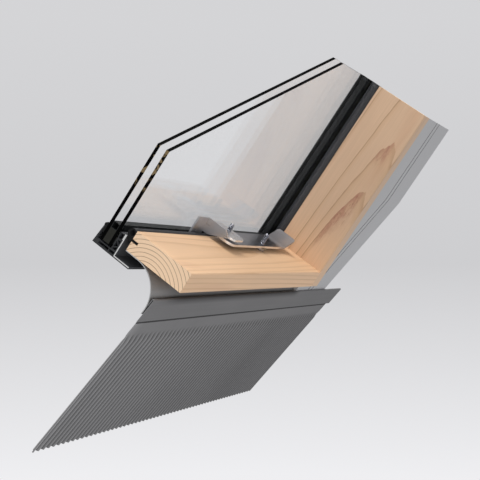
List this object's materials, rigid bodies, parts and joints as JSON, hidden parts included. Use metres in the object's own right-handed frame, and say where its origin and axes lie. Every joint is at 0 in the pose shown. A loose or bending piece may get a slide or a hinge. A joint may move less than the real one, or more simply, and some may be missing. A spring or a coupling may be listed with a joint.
{
  "type": "roof skylight corner section",
  "caption": "Cut-away lower corner of a side-hung roof skylight: timber frame, double-glazed sash in dark metal, folding stay, swept flashing and pleated apron.",
  "frame": {"origin": "middle of the corner block of the timber frame, on its room face", "axes": "+X along the bottom rail towards its cut end, +Y up the roof slope along the side jamb, +Z out of the roof"},
  "size_m": [0.625, 0.5107, 0.1134],
  "materials": {
    "pine": "planed, clear matt",
    "glass": "clear float",
    "black_rubber": "matt",
    "sash_dark": "powder coated, matt, bright cut ends",
    "dark_plastic": "extruded, matt",
    "spacer_dark": "matt",
    "sealant": "dull",
    "grey_sheet": "coated, satin",
    "light_sheet": "mill, satin",
    "apron_sheet": "coated, matt",
    "stay_steel": "zinc plated",
    "fastener_zinc": "zinc plated",
    "washer_bronze": "dull"
  },
  "bodies": {
    "frame": {"bottom_rail": "pine", "side_jamb": "pine", "corner_screws": "fastener_zinc", "frame_gasket": "black_rubber", "front_flashing": "grey_sheet", "side_flashing": "light_sheet", "apron_band": "apron_sheet", "apron": "apron_sheet", "flashing_nails": "fastener_zinc", "frame_stud": "fastener_zinc", "friction_washer": "washer_bronze"},
    "link": {"stay_link": "stay_steel"},
    "sash": {"sash_bracket": "stay_steel", "bracket_rivets": "fastener_zinc", "sash_stud": "fastener_zinc", "pivot_bush": "fastener_zinc", "inner_pane": "glass", "outer_pane": "glass", "spacer_bar": "spacer_dark", "edge_sealant": "sealant", "setting_blocks": "black_rubber", "sash_base_bottom": "sash_dark", "sash_base_side": "sash_dark", "carrier_bottom": "dark_plastic", "carrier_side": "dark_plastic", "inner_tape_bottom": "black_rubber", "inner_tape_side": "black_rubber", "outer_seal_bottom": "black_rubber", "outer_seal_side": "black_rubber", "sash_cover_bottom": "sash_dark", "sash_cover_side": "sash_dark", "cover_rivets": "sash_dark"}
  },
  "joints": [
    {"name": "link_turn", "type": "hinge", "parent": "frame", "child": "link", "pos_m": [0.1295, 0.018, 0.052], "axis": [0, -1, 0], "range_deg": [0, 70]},
    {"name": "sash_turn", "type": "hinge", "parent": "link", "child": "sash", "pos_m": [0.2165, 0.018, 0.066], "axis": [0, -1, 0], "range_deg": [-45, 0]}
  ],
  "couplings": [
    {"joint": "sash_turn", "follows": "link_turn", "ratio": -0.64}
  ]
}
